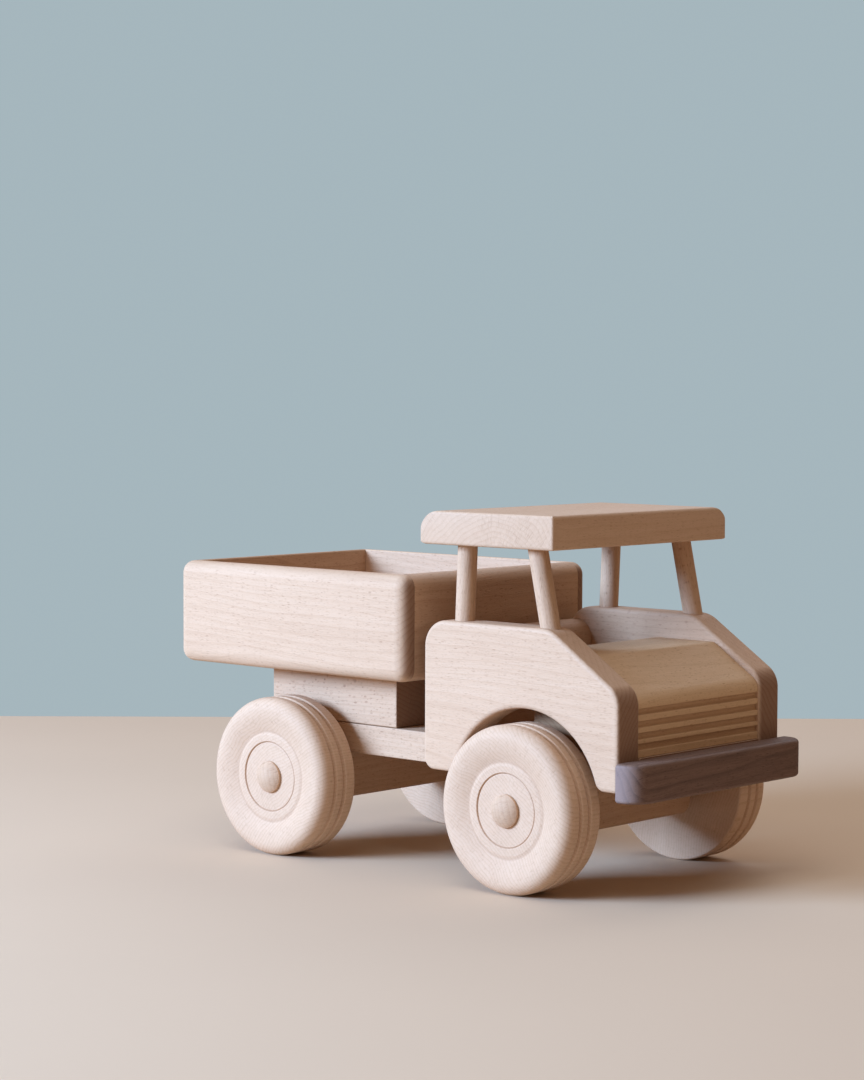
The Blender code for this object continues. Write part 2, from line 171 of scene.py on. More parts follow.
def sheen_wear_and_groove_shade_at(outline, i):
    """From 1 on a sharp outer corner to -1 in a narrow groove; 0 on a flat or slow curve.

    A plus value paints an edge lighter, for wear and a painted highlight; a minus value paints a
    groove darker, a painted shade. The limits are curvatures, one over the radius in metres.
    """
    before = Vector(outline[i]) - Vector(outline[i - 1])
    after = Vector(outline[(i + 1) % len(outline)]) - Vector(outline[i])
    if before.length < 1e-9 or after.length < 1e-9:
        return 0.0
    bend = before.cross(after) / (before.length * after.length)
    curvature = asin(max(-1.0, min(1.0, bend))) * 2 / (before.length + after.length)
    mild, strong = (120.0, 900.0) if curvature > 0 else (260.0, 700.0)
    amount = max(0.0, min(1.0, (abs(curvature) - mild) / (strong - mild)))
    return amount if curvature > 0 else -amount


def slab(name, outline, axis, low, high, edge=0.0, steps=5):
    """A board: an outline spread between two levels of an axis, with rounded rims."""
    margin = 0.00015             # flat strip that keeps the rims' painted lightening, for wear and a painted highlight, off the faces
    rings = [(0.0, 0.0, 0.0)]
    if edge:
        rings = [(edge + margin, 0.0, 0.0)]
        for i in range(steps + 1):
            turn = pi / 2 * i / steps
            # a rim's third number paints it lighter, partly for wear and partly as a painted highlight
            rings.append((edge * (1 - sin(turn)), edge * (1 - cos(turn)), sin(2 * turn)))
    levels = [(inset, low + depth, sheen_wear_and_groove_shade) for inset, depth, sheen_wear_and_groove_shade in rings]
    levels += [(inset, high - depth, sheen_wear_and_groove_shade) for inset, depth, sheen_wear_and_groove_shade in reversed(rings)]
    normals = outline_normals(outline)
    # narrow grooves in the outline are painted darker: a painted shade
    grooves = [min(0.0, sheen_wear_and_groove_shade_at(outline, i)) for i in range(len(outline))]
    shape = bmesh.new()
    layer = shape.verts.layers.float.new("sheen_wear_and_groove_shade")
    loops = []
    for inset, level, sheen_wear_and_groove_shade in levels:
        loop = []
        for (a, b), normal, groove in zip(outline, normals, grooves):
            vert = shape.verts.new(AXES[axis](a - normal.x * inset, b - normal.y * inset, level))
            vert[layer] = sheen_wear_and_groove_shade + groove
            loop.append(vert)
        loops.append(loop)
    for first, second in zip(loops, loops[1:]):
        for i in range(len(outline)):
            shape.faces.new((first[i - 1], first[i], second[i], second[i - 1]))
    shape.faces.new(loops[0])
    shape.faces.new(loops[-1])
    return new_object(name, shape)


def block(name, low, high, radius, segments=6):
    """A rectangular block with rounded edges."""
    low = Vector(low)
    high = Vector(high)
    shape = bmesh.new()
    shape.verts.layers.float.new("sheen_wear_and_groove_shade")
    bmesh.ops.create_cube(shape, size=1.0)
    bmesh.ops.scale(shape, vec=high - low, verts=shape.verts)
    bmesh.ops.translate(shape, vec=(low + high) / 2, verts=shape.verts)
    obj = new_object(name, shape)
    bevel = obj.modifiers.new("rounded edges", "BEVEL")
    bevel.width = radius
    bevel.segments = segments
    bevel.limit_method = "NONE"
    bevel.use_clamp_overlap = False
    return obj


def lathe(name, profile, centre, direction, steps, closed=False):
    """A turned piece: a profile of (radius, distance along the axis) spun about a line.

    A profile may run either way round; its signed area tells outer corners from grooves.
    """
    spin = Vector(direction).to_track_quat("Z", "Y").to_matrix().to_4x4()
    place = Matrix.Translation(centre) @ spin
    shape = bmesh.new()
    layer = shape.verts.layers.float.new("sheen_wear_and_groove_shade")
    area = sum(r * profile[(i + 1) % len(profile)][1] - h * profile[(i + 1) % len(profile)][0]
               for i, (r, h) in enumerate(profile))
    way = 1 if area > 0 else -1
    loops = []
    for i, (radius, height) in enumerate(profile):
        # outer edges are painted lighter, for wear and a painted highlight; grooves darker, a painted shade
        sheen_wear_and_groove_shade = way * sheen_wear_and_groove_shade_at(profile, i) if radius > 1e-9 else 0.0
        loop = []
        for k in range(1 if radius < 1e-9 else steps):
            angle = 2 * pi * k / steps
            point = Vector((radius * cos(angle), radius * sin(angle), height))
            vert = shape.verts.new(place @ point)
            vert[layer] = sheen_wear_and_groove_shade
            loop.append(vert)
        loops.append(loop)
    pairs = list(zip(loops, loops[1:]))
    if closed:
        pairs.append((loops[-1], loops[0]))
    for first, second in pairs:
        for k in range(steps):
            corners = [first[k % len(first)], first[(k + 1) % len(first)],
                       second[(k + 1) % len(second)], second[k % len(second)]]
            shape.faces.new(list(dict.fromkeys(corners)))
    return new_object(name, shape)


def cylinder(name, start, end, radius, edge=0.0, steps=48):
    """A straight dowel or drill; edge is the small round at its ends, if it has one."""
    start = Vector(start)
    end = Vector(end)
    length = (end - start).length
    profile = [(0.0, 0.0)]
    if edge:
        profile += arc((radius - edge, edge), edge, -pi / 2, 0.0, 4)
        profile += arc((radius - edge, length - edge), edge, 0.0, pi / 2, 4)
    else:
        profile += [(radius, 0.0), (radius, length)]
    profile.append((0.0, length))
    return lathe(name, profile, start, end - start, steps)


def cut(obj, tool, operation="DIFFERENCE"):
    """Cut a piece with another solid, or keep only what they share; the tool is used up.

    A piece that is cut away altogether stops the script.
    """
    modifier = obj.modifiers.new(tool.name, "BOOLEAN")
    modifier.operation = operation
    modifier.object = tool
    modifier.solver = "EXACT"
    applied(obj)
    if not obj.data.polygons:
        raise RuntimeError(f"nothing is left of {obj.name} after {tool.name}")
    bpy.data.objects.remove(tool, do_unlink=True)


def applied(obj):
    """Replace an object's mesh by what its modifiers make of it."""
    bpy.context.view_layer.update()
    evaluated = obj.evaluated_get(bpy.context.evaluated_depsgraph_get())
    mesh = bpy.data.meshes.new_from_object(evaluated)
    obj.modifiers.clear()
    obj.data = mesh


def wear_and_sheen_from_normals(obj):
    """Mark the rounded edges of a block, where the surface faces between two axes, to be painted lighter for wear
    and a painted highlight.
    """
    applied(obj)
    layer = obj.data.attributes["sheen_wear_and_groove_shade"].data
    full = 1 - cos(pi / 4)
    for vertex in obj.data.vertices:
        layer[vertex.index].value = min(1.0, (1 - max(map(abs, vertex.normal))) / full)


def show(obj, node, material):
    """Finish a piece's shading, and let it stand for its node of the frame."""
    applied(obj)
    obj.name = f"{node}_finished"
    obj.data.name = obj.name
    obj.data.materials.clear()
    obj.data.materials.append(material)
    obj.data.shade_smooth()
    obj.data.set_sharp_from_angle(angle=SHARPEST_SMOOTH)
    obj.modifiers.new("flat faces stay flat", "WEIGHTED_NORMAL").keep_sharp = True
    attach(obj, BODY_OF[node])
    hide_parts(node)


# ---- materials ----
class Nodes:
    """Adds nodes to a tree; an input is a plain value or another node's output."""

    def __init__(self, tree):
        self.tree = tree

    def add(self, kind, inputs, **settings):
        """A node of this kind, its settings made and its inputs filled or linked."""
        node = self.tree.nodes.new("ShaderNode" + kind)
        for key, value in settings.items():
            setattr(node, key, value)
        for key, value in inputs.items():
            if isinstance(value, bpy.types.NodeSocket):
                self.tree.links.new(value, node.inputs[key])
            else:
                node.inputs[key].default_value = value
        return node

    def math(self, operation, *values, clamp=False):
        """What a math node makes of its values."""
        inputs = dict(enumerate(values))
        return self.add("Math", inputs, operation=operation, use_clamp=clamp).outputs[0]

    def vector(self, operation, *values):
        """What a vector math node makes of its values, be it a vector or a number."""
        node = self.add("VectorMath", dict(enumerate(values)), operation=operation)
        return node.outputs["Value" if operation in ("LENGTH", "DOT_PRODUCT") else "Vector"]

    def noise(self, position, stretch, detail=2.0, roughness=0.5, colour=False):
        """Noise with its own cell count per metre along each axis."""
        scaled = self.vector("MULTIPLY", position, stretch)
        inputs = {"Vector": scaled, "Scale": 1.0, "Detail": detail, "Roughness": roughness}
        node = self.add("TexNoise", inputs)
        return node.outputs[1 if colour else 0]

    def spindles(self, position, stretch, core, rim):
        """Scattered spindle-shaped spots, a few strong and many faint."""
        scaled = self.vector("MULTIPLY", position, stretch)
        node = self.add("TexVoronoi", {"Vector": scaled, "Scale": 1.0})
        spot = self.fade(node.outputs["Distance"], rim, core)
        chance = self.add("SeparateColor", {0: node.outputs["Color"]}).outputs[0]
        strength = self.math("POWER", chance, 1.8)
        return self.math("MULTIPLY", spot, strength)

    def fade(self, value, low, high, to_low=0.0, to_high=1.0):
        """A smooth step between two values."""
        inputs = {"Value": value, "From Min": low, "From Max": high,
                  "To Min": to_low, "To Max": to_high}
        node = self.add("MapRange", inputs, interpolation_type="SMOOTHSTEP")
        return node.outputs[0]

    def mix(self, factor, first, second, blend="MIX"):
        """Two colours mixed."""
        inputs = {0: factor, 6: first, 7: second}
        return self.add("Mix", inputs, data_type="RGBA", blend_type=blend).outputs[2]

    def ramp(self, value, stops):
        """A colour from (position, colour) stops."""
        node = self.add("ValToRGB", {0: value})
        points = node.color_ramp.elements
        while len(points) < len(stops):
            points.new(0.5)
        for point, (position, colour) in zip(points, stops):
            point.position = position
            point.color = (*colour, 1.0)
        return node.outputs["Color"]


SPECIES = {
    # tones from the palest to the deepest, then the colours of rays, end grain and rubbed edges;
    # a ring's width is in metres, and figure is how lively the grain is; rubbed edges are painted
    # lighter, partly for wear and partly as a painted highlight
    "beech": {
        "tones": ((0.0, (0.700, 0.480, 0.320)), (0.5, (0.610, 0.392, 0.245)),
                  (1.0, (0.455, 0.262, 0.150))),
        "ray": (0.300, 0.140, 0.070),
        "ray_strength": 0.52,
        "end": (0.185, 0.088, 0.050),
        "wear_and_sheen": (0.760, 0.560, 0.400),
        "ring": 0.0024,
        "figure": 1.0,
    },
    "walnut": {
        "tones": ((0.0, (0.270, 0.160, 0.115)), (0.5, (0.175, 0.098, 0.068)),
                  (1.0, (0.075, 0.040, 0.028))),
        "ray": (0.030, 0.014, 0.010),
        "ray_strength": 0.70,
        # walnut end grain is painted paler and greyer than its face: a painted sheen of the light on the bumper's
        # end
        "end": (0.300, 0.210, 0.180),
        "wear_and_sheen": (0.270, 0.180, 0.140),
        "ring": 0.0034,
        "figure": 1.5,
    },
}


def solid_wood(name):
    """A group that carves colour, roughness and height out of an imaginary log.

    Its Vector is a place in the log: x along the grain, the pith on the line y = z = 0. End tells
    where end grain is; the edge and groove input paints rubbed edges lighter, for wear and a painted
    highlight, and grooves darker, a painted shade. Tone tells how dark the piece is, and Rays and
    Rings how plainly those show.
    """
    species = SPECIES[name]
    group = bpy.data.node_groups.new(name, "ShaderNodeTree")
    for socket, kind in (("Vector", "Vector"), ("End", "Float"), ("Wear sheen and groove shade", "Float"),
                         ("Tone", "Float"), ("Rays", "Float"), ("Rings", "Float"),
                         ("Tint", "Color")):
        group.interface.new_socket(socket, in_out="INPUT", socket_type=f"NodeSocket{kind}")
    for socket, kind in (("Color", "Color"), ("Roughness", "Float"), ("Height", "Float")):
        group.interface.new_socket(socket, in_out="OUTPUT", socket_type=f"NodeSocket{kind}")
    nodes = Nodes(group)
    given = group.nodes.new("NodeGroupInput").outputs
    made = group.nodes.new("NodeGroupOutput").inputs

    # the log isn't straight: a slow waver along the grain, quicker across it
    waver = nodes.noise(given["Vector"], (7.0, 24.0, 24.0), detail=1.5, colour=True)
    waver = nodes.vector("MULTIPLY", nodes.vector("SUBTRACT", waver, (0.5, 0.5, 0.5)),
                         (0.004, 0.009, 0.009))
    place = nodes.vector("ADD", given["Vector"], waver)
    axes = nodes.add("SeparateXYZ", {0: place}).outputs
    radius = nodes.vector("LENGTH", nodes.add("CombineXYZ", {1: axes[1], 2: axes[2]}).outputs[0])
    around = nodes.math("MULTIPLY", nodes.math("ARCTAN2", axes[1], axes[2]), 0.09)
    polar = nodes.add("CombineXYZ", {0: axes[0], 1: around, 2: radius}).outputs[0]

    # growth rings: a slow darkening that ends in a sharp line
    uneven = nodes.noise(given["Vector"], (5.0, 60.0, 60.0), detail=1.0)
    rings = nodes.math("MULTIPLY_ADD", uneven, 2.6, nodes.math("DIVIDE", radius, species["ring"]))
    season = nodes.math("FRACT", rings)
    ring = nodes.math("MULTIPLY", nodes.math("POWER", season, 3.0),
                      nodes.fade(season, 1.0, 0.90))
    year = nodes.noise(nodes.add("CombineXYZ", {2: nodes.math("FLOOR", rings)}).outputs[0],
                       (1.0, 1.0, 0.37), detail=0.0)

    # cells per metre along the grain and across it, from fine fibres to broad clouds
    fibre = nodes.noise(place, (70.0, 2400.0, 2400.0), detail=2.0, roughness=0.6)
    streak = nodes.noise(place, (14.0, 330.0, 330.0), detail=2.0, roughness=0.55)
    mottle = nodes.noise(given["Vector"], (9.0, 34.0, 34.0), detail=2.0)
    # ray flecks run along the grain, and radially on end grain
    ray = nodes.spindles(polar, (250.0, 1500.0, 150.0), 0.10, 0.38)
    fine_ray = nodes.spindles(polar, (480.0, 2900.0, 300.0), 0.12, 0.42)
    pores = nodes.spindles(place, (260.0, 3000.0, 3000.0), 0.10, 0.34)

    # colour
    tone = nodes.math("ADD", given["Tone"], 0.5)
    for part, amount in ((mottle, 0.22), (streak, 0.30), (fibre, 0.34), (year, 0.16)):
        centred = nodes.math("SUBTRACT", part, 0.5)
        tone = nodes.math("MULTIPLY_ADD", centred, amount * species["figure"], tone)
    lines = nodes.math("MULTIPLY_ADD", given["End"], 3.5, given["Rings"])
    lines = nodes.math("MULTIPLY", lines, ring)
    tone = nodes.math("MULTIPLY_ADD", lines, 0.17 * species["figure"], tone)
    colour = nodes.ramp(tone, species["tones"])
    rays = nodes.math("MULTIPLY_ADD", fine_ray, 0.85, ray, clamp=True)
    rays = nodes.math("MULTIPLY", rays, given["Rays"], clamp=True)
    colour = nodes.mix(nodes.math("MULTIPLY", rays, species["ray_strength"]), colour,
                       (*species["ray"], 1.0))
    colour = nodes.mix(nodes.math("MULTIPLY", pores, 0.30), colour, (*species["ray"], 1.0))
    # end grain darker on beech; on walnut it turns paler and greyer, a painted sheen
    colour = nodes.mix(nodes.math("MULTIPLY", given["End"], 0.75), colour,
                       (*species["end"], 1.0))
    # rubbed edges painted lighter, partly wear and partly a painted highlight; grooves painted darker with the ray
    # colour, a painted shade
    wear_and_sheen = nodes.math("MAXIMUM", given["Wear sheen and groove shade"], 0.0)
    groove = nodes.math("MAXIMUM", nodes.math("MULTIPLY", given["Wear sheen and groove shade"], -1.0), 0.0)
    colour = nodes.mix(nodes.math("MULTIPLY", wear_and_sheen, 0.16), colour, (*species["wear_and_sheen"], 1.0))
    colour = nodes.mix(nodes.math("MULTIPLY", groove, 0.45), colour, (*species["ray"], 1.0))
    colour = nodes.mix(1.0, colour, given["Tint"], "MULTIPLY")
    group.links.new(colour, made["Color"])

    # dull wood, smoother where hands have worn it
    rough = nodes.math("MULTIPLY_ADD", fibre, 0.16, 0.55)
    rough = nodes.math("MULTIPLY_ADD", rays, 0.10, rough)
    rough = nodes.math("MULTIPLY_ADD", given["End"], 0.10, rough)
    rough = nodes.math("MULTIPLY_ADD", wear_and_sheen, -0.12, rough, clamp=True)
    group.links.new(rough, made["Roughness"])

    # rays, pores and late wood lie a little lower
    height = nodes.math("MULTIPLY_ADD", fibre, 0.6, nodes.math("MULTIPLY", streak, 0.5))
    height = nodes.math("MULTIPLY_ADD", ring, -0.25, height)
    height = nodes.math("MULTIPLY_ADD", rays, -0.55, height)
    height = nodes.math("MULTIPLY_ADD", pores, -0.5, height)
    group.links.new(height, made["Height"])
    return group


WOODS = {name: solid_wood(name) for name in SPECIES}
cuts = []


def wood(name, middle, grain, bark, pith=0.08, tone=0.0, rays=1.0, end=1.0, rings=1.0,
         slow=1.0, tint=(1.0, 1.0, 1.0), species="beech"):
    """The wood of one piece: which way its grain runs and which way the tree's bark lay.

    pith is how far the piece's middle was from the centre of the tree; slow is how much slower
    than usual the tree grew, which makes its rings and fibres finer. tone darkens the piece, end
    sets how strongly its end grain is coloured (darker on beech; paler and greyer on walnut, a
    painted sheen), rays and rings set how plainly those show, and tint shifts its hue.
    """
    along = Vector(grain).normalized()
    outward = Vector(bark)
    outward = (outward - along * outward.dot(along)).normalized()
    turn = Matrix((along, outward.cross(along), outward))
    cuts.append(name)
    step_along_log = 0.31
    offset = Vector((step_along_log * len(cuts), 0.0, pith * slow)) - turn @ Vector(middle) * slow

    material = bpy.data.materials.new(name)
    material.use_nodes = True
    nodes = Nodes(material.node_tree)
    shader = material.node_tree.nodes["Principled BSDF"]
    where = nodes.add("TexCoord", {}).outputs
    mapping = {"Vector": where["Object"], "Location": offset, "Rotation": turn.to_euler("XYZ"),
               "Scale": (slow, slow, slow)}
    log = nodes.add("Mapping", mapping, vector_type="POINT").outputs[0]
    facing = nodes.math("ABSOLUTE", nodes.vector("DOT_PRODUCT", where["Normal"], tuple(along)))
    end_grain = nodes.fade(facing, 0.45, 0.98, 0.0, end)
    # where edges are painted lighter (wear and a painted highlight) and grooves darker (a painted shade)
    sheen_wear_and_groove_shade = nodes.add("Attribute", {}, attribute_name="sheen_wear_and_groove_shade").outputs["Fac"]
    inputs = {"Vector": log, "End": end_grain, "Wear sheen and groove shade": sheen_wear_and_groove_shade, "Tone": tone, "Rays": rays,
              "Rings": rings, "Tint": (*tint, 1.0)}
    carved = nodes.add("Group", {}, node_tree=WOODS[species])
    for key, value in inputs.items():
        if isinstance(value, bpy.types.NodeSocket):
            material.node_tree.links.new(value, carved.inputs[key])
        else:
            carved.inputs[key].default_value = value
    bump = nodes.add("Bump", {"Height": carved.outputs["Height"], "Strength": 0.5,
                              "Distance": 0.00035})
    links = material.node_tree.links
    links.new(carved.outputs["Color"], shader.inputs["Base Color"])
    links.new(carved.outputs["Roughness"], shader.inputs["Roughness"])
    links.new(bump.outputs["Normal"], shader.inputs["Normal"])
    shader.inputs["IOR"].default_value = 1.45
    shader.inputs["Specular IOR Level"].default_value = 0.28
    return material


def middle_of(node):
    """The middle of a node's box."""
    low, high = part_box(node)
    return (low + high) / 2


# ---- running gear ----
def wheel_profile(radius, width, boss, bore):
    """Section of a wheel as (radius, distance out from the inner face), counter-clockwise."""
    rim = 0.0060                 # radius of the round shoulder
    crest = radius - rim         # where the outer face is highest
    face = width - 0.0027        # height of the middle of the outer face
    ring = 0.0228                # where the dished face ends and the bead begins
    bead = 0.0180                # the bead's inner edge
    bead_height = 0.0004
    line = 0.0005                # half width and depth of the line inside the bead
    grooves = (0.0078, 0.0142)   # heights of the tread's two grooves
    groove = 0.0013              # half their width
    groove_depth = 0.0018
    groove_lip = 0.0009          # rounding of their edges
    boss_radius = 0.0120
    foot = 0.0010                # bevel of the inner face's edge
    corners = [(bore, -boss, 0.0003), (boss_radius, -boss, 0.0008), (boss_radius, 0.0, 0.0004)]
    corners.append((radius - foot / 2, 0.0, foot))
    corners.append((radius, foot, 0.0006))
    for height in grooves:
        corners.append((radius, height - groove, groove_lip))
        corners.append((radius - groove_depth, height, 0.0002))
        corners.append((radius, height + groove, groove_lip))
    shoulder = arc((crest, width - rim), rim, 0.0, pi / 2, 16)
    corners += [(r, h, 0) for r, h in shoulder]
    dish_steps = 14
    for i in range(dish_steps - 1, 0, -1):
        share = i / dish_steps
        dish = face + (width - face) * sin(share * pi / 2)
        corners.append((ring + (crest - ring) * share, dish, 0))
    corners.append((ring, face, 0.0022))
    corners.append((ring - 4 * bead_height, face + bead_height, 0.0022))
    corners.append((bead, face + bead_height, 0.0003))
    corners.append((bead - line, face - line, 0.0002))
    corners.append((bead - 2 * line, face, 0.0003))
    corners.append((bore, face, 0.0003))
    return rounded(corners, steps=4)


def peg_profile(head_top):
    """A mushroom-headed peg, from the middle of its domed head down to the shank's end."""
    head = 0.0080                # radius of the head
    head_height = 0.0042
    rim = 0.0009                 # height of the head's straight side
    shank_end = -0.0330
    under = head_top - head_height
    sphere = (head ** 2 + (head_height - rim) ** 2) / (2 * (head_height - rim))
    dome = arc((0.0, head_top - sphere), sphere, pi / 2, pi / 2 - asin(head / sphere), 12)
    dome[0] = (0.0, head_top)
    lower = [(head, under, rim / 3), (PEG_RADIUS, under, 0),
             (PEG_RADIUS, shank_end + rim, 0), (PEG_RADIUS - rim, shank_end, 0)]
    return dome[:-1] + [(head - 0.0001, under + rim)] + rounded(lower, 4) + [(0.0, shank_end)]


def axle_block(end):
    """A cross beam under the chassis, round at its lower ends, with a hole for each peg."""
    node = f"{end}_axle_block"
    low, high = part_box(node)
    end_radius = 0.0060
    outline = rounded([(low.y, low.z, end_radius), (high.y, low.z, end_radius),
                       (high.y, high.z, 0.0010), (low.y, high.z, 0.0010)])
    beam = slab(node, outline, "X", low.x, high.x, 0.0008)
    for side, hand in HANDS:
        peg_low, peg_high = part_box(f"{end}_{hand}_axle_peg")
        inner = peg_high.y if side < 0 else peg_low.y
        middle = middle_of(f"{end}_{hand}_axle_peg")
        outer = side * (high.y + 0.005)
        cut(beam, cylinder("peg hole", (middle.x, inner - side * GAP, middle.z),
                           (middle.x, outer, middle.z), PEG_RADIUS + GLUED))
    middle = (low + high) / 2
    show(beam, node, wood(node, middle, (0, 1, 0), (0.5, 0, 1), tone=0.10))


# how each wheel was cut from its log: the way its straight growth rings lean, in the XZ plane
RING_LEAN = {
    "front_right": radians(-40), "rear_right": radians(38),
    "front_left": radians(70), "rear_left": radians(-15),
}


def wheels():
    """Each wheel and its peg: two turned profiles on the wheel's joint axis."""
    for end in ENDS:
        for side, hand in HANDS:
            node = f"{end}_{hand}_wheel"
            low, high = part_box(node)
            axle = Vector(JOINTS[f"{end}_{hand}_roll"]["pos_m"])
            radius = (high.z - low.z) / 2
            crest = max(abs(low.y), abs(high.y))
            inner = crest - WHEEL_WIDTH
            boss = inner - min(abs(low.y), abs(high.y))
            centre = (axle.x, side * inner, axle.z)
            out = (0, side, 0)
            lean = RING_LEAN[f"{end}_{hand}"]
            bark = (-sin(lean), 0, cos(lean))
            profile = wheel_profile(radius, WHEEL_WIDTH, boss, WHEEL_BORE)
            wheel = lathe(node, profile, centre, out, 120, closed=True)
            show(wheel, node, wood(
                node, middle_of(node), (0, 1, 0), bark, pith=0.16, tone=-0.12, rays=0.50,
                end=0.0, rings=2.1, slow=1.5, tint=(1.01, 1.025, 1.05)))
            peg_node = f"{end}_{hand}_axle_peg"
            peg_low, peg_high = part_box(peg_node)
            head_top = max(abs(peg_low.y), abs(peg_high.y)) - inner
            peg = lathe(peg_node, peg_profile(head_top), centre, out, 64)
            show(peg, peg_node, wood(
                peg_node, middle_of(peg_node), (0, 1, 0), (1, 0, 0.3), tone=-0.06, end=0.15))


# ---- chassis, hinge pin and bumper ----
def chassis():
    """The long board: an arc and a stop flat at its rear end, a notch there for the lug."""
    node = "chassis_board"
    low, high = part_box(node)
    hinge = Vector(JOINTS["bed_tip"]["pos_m"])
    end_radius = (high.z - low.z) / 2
    outline = [(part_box("tipper_block")[0].x, low.z), (high.x, low.z), (high.x, high.z)]
    outline += arc((hinge.x, hinge.z), end_radius, pi / 2, pi / 2 + HINGE_MAX, 20)
    deck = slab(node, outline, "Y", low.y, high.y, 0.0006)
    lug_low, lug_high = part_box("hinge_lug")
    over = 0.01
    cut(deck, block("lug notch", (low.x - over, lug_low.y - GAP, low.z - over),
                    (lug_high.x + GAP, lug_high.y + GAP, high.z + over), 0.0006))
    pin_low, pin_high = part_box("hinge_pin")
    pin_radius = (pin_high.z - pin_low.z) / 2
    cut(deck, cylinder("pin hole", (hinge.x, pin_low.y - over, hinge.z),
                       (hinge.x, pin_high.y + over, hinge.z), pin_radius + GLUED))
    show(deck, node, wood(
        node, middle_of(node), (1, 0, 0.02), (0, 0.9, 0.5), tone=-0.05, rays=1.3))
    pin = cylinder("hinge_pin", (hinge.x, pin_low.y, hinge.z), (hinge.x, pin_high.y, hinge.z),
                   pin_radius, edge=0.0004)
    show(pin, "hinge_pin", wood(
        "hinge_pin", middle_of("hinge_pin"), (0, 1, 0), (1, 0, 0), tone=0.05))


def bumper():
    """The walnut bar, round at its front corners."""
    node = "bumper"
    low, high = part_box(node)
    end_radius = 0.0105
    back_radius = 0.0021
    outline = rounded([
        (low.x, low.y, back_radius), (high.x, low.y, end_radius),
        (high.x, high.y, end_radius), (low.x, high.y, back_radius)], steps=14)
    bar = slab(node, outline, "Z", low.z, high.z, 0.0018)
    for _, hand in HANDS:
        dowel_low, dowel_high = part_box(f"bumper_{hand}_dowel")
        middle = (dowel_low + dowel_high) / 2
        radius = (dowel_high.z - dowel_low.z) / 2
        cut(bar, cylinder("dowel hole", (low.x - GAP, middle.y, middle.z),
                          (dowel_high.x + GAP, middle.y, middle.z), radius + GLUED))
    show(bar, node, wood(
        node, middle_of(node), (0.03, 1, 0.02), (1, 0, 0.6), pith=0.07, species="walnut"))
    for _, hand in HANDS:
        peg = f"bumper_{hand}_dowel"
        frame["nodes"][peg].data.materials.clear()
        frame["nodes"][peg].data.materials.append(
            wood(peg, middle_of(peg), (1, 0, 0), (0, 0, 1)))


# ---- cab ----
def cheek_outline(low, high):
    """The cheek's side view: wheel arch, grille edge, hood slope, top and rear."""
    arch_radius = 0.0446
    arch_z = 0.0420
    brow_x = high.x - 0.0415     # where the hood line leaves the flat top
    nose_z = high.z - (high.x - brow_x) * tan(HOOD_ANGLE)
    axle_x = JOINTS["front_right_roll"]["pos_m"][0]
    arch = scallop((axle_x, arch_z), arch_radius, 0.0055, low.z - arch_z, 60, 10)
    corners = [
        (high.x, low.z, 0.0022),
        (high.x, nose_z, 0.0120),
        (brow_x, high.z, 0.0160),
        (low.x, high.z, 0.0130),
        (low.x, low.z, 0.0060),
    ]
    guide = [(arch[-1][0], low.z, 0)] + corners + [(arch[0][0], low.z, 0)]
    return arch + rounded(guide, steps=14)[1:-1]


def post_ends(end, hand):
    """Both ends of a post's axis, from the box that its slanting dowel fills."""
    low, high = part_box(f"{end}_{hand}_post")
    middle = (low + high) / 2
    radius = (high.y - low.y) / 2
    rise = high.z - low.z
    run = high.x - low.x
    # the box of a leaning dowel is its own run and rise widened by the tilted end discs
    lean = atan2(run - 2 * radius, rise)
    for _ in range(6):
        length = (rise - 2 * radius * sin(lean)) / cos(lean)
        lean = asin(max(0.0, run - 2 * radius * cos(lean)) / length)
    along = Vector(((1 if end == "rear" else -1) * sin(lean), 0.0, cos(lean)))
    return middle - along * length / 2, middle + along * length / 2, radius


def cab():
    """Cheeks, roof and the posts let into both; hood block and seat back between the cheeks."""
    top = roof()
    cheeks = {}
    for side, hand in HANDS:
        node = f"{hand}_cheek"
        low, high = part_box(node)
        cheeks[hand] = slab(node, cheek_outline(low, high), "Y", low.y, high.y, CHEEK_EDGE)
    for end in ENDS:
        for side, hand in HANDS:
            node = f"{end}_{hand}_post"
            start, finish, radius = post_ends(end, hand)
            along = (finish - start).normalized()
            for piece in (cheeks[hand], top):
                cut(piece, cylinder("post hole", start - along * GAP, finish + along * GAP,
                                    radius + GLUED))
            post = cylinder(node, start, finish, radius, edge=0.0003)
            show(post, node, wood(
                node, (start + finish) / 2, along, (1, side * 0.7, 0), pith=0.05, rays=1.2,
                tone=-0.02))
    for side, hand in HANDS:
        node = f"{hand}_cheek"
        show(cheeks[hand], node, wood(
            node, middle_of(node), (1, 0, -0.030), (0.0, 0.80 * side, 0.62), pith=0.085,
            rays=0.7, tone=-0.04 if side < 0 else 0.02))
    show(top, "roof", wood(
        "roof", middle_of("roof"), (0, 1, 0), (-0.15, 0, 1), pith=0.034, end=0.10, tone=-0.04))
    hood()
    seat_back()


def roof():
    """The roof board: well rounded along its rear and left top edges, crisp along the others.

    It is what three outlines share: its side view, its front view and its plan.
    """
    low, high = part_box("roof")
    crisp = 0.0016
    rear_round = 0.0120
    rear_eased = 0.0035          # the same two edges, underneath
    left_round = 0.0122
    left_eased = 0.0032
    over = 0.004
    clear = 0.00004              # keeps the three outlines from sharing a plane
    side_view = rounded([(low.x, low.z, rear_eased), (high.x, low.z, crisp),
                         (high.x, high.z, crisp), (low.x, high.z, rear_round)], steps=12)
    bottom = low.z - clear
    top = high.z + clear
    front_view = rounded([(low.y, bottom, crisp), (high.y, bottom, left_eased),
                          (high.y, top, left_round), (low.y, top, crisp)], steps=13)
    front = high.x + clear
    rear = low.x - clear
    right = low.y - clear
    left = high.y + clear
    plan = rounded([(rear, right, crisp), (front, right, crisp),
                    (front, left, 0.0030), (rear, left, 0.0050)], steps=8)
    board = slab("roof", side_view, "Y", low.y - over, high.y + over)
    cut(board, slab("front view", front_view, "X", low.x - 2 * over, high.x + 2 * over),
        "INTERSECT")
    cut(board, slab("plan", plan, "Z", low.z - 3 * over, high.z + 3 * over), "INTERSECT")
    wear_and_sheen_from_normals(board)
    return board


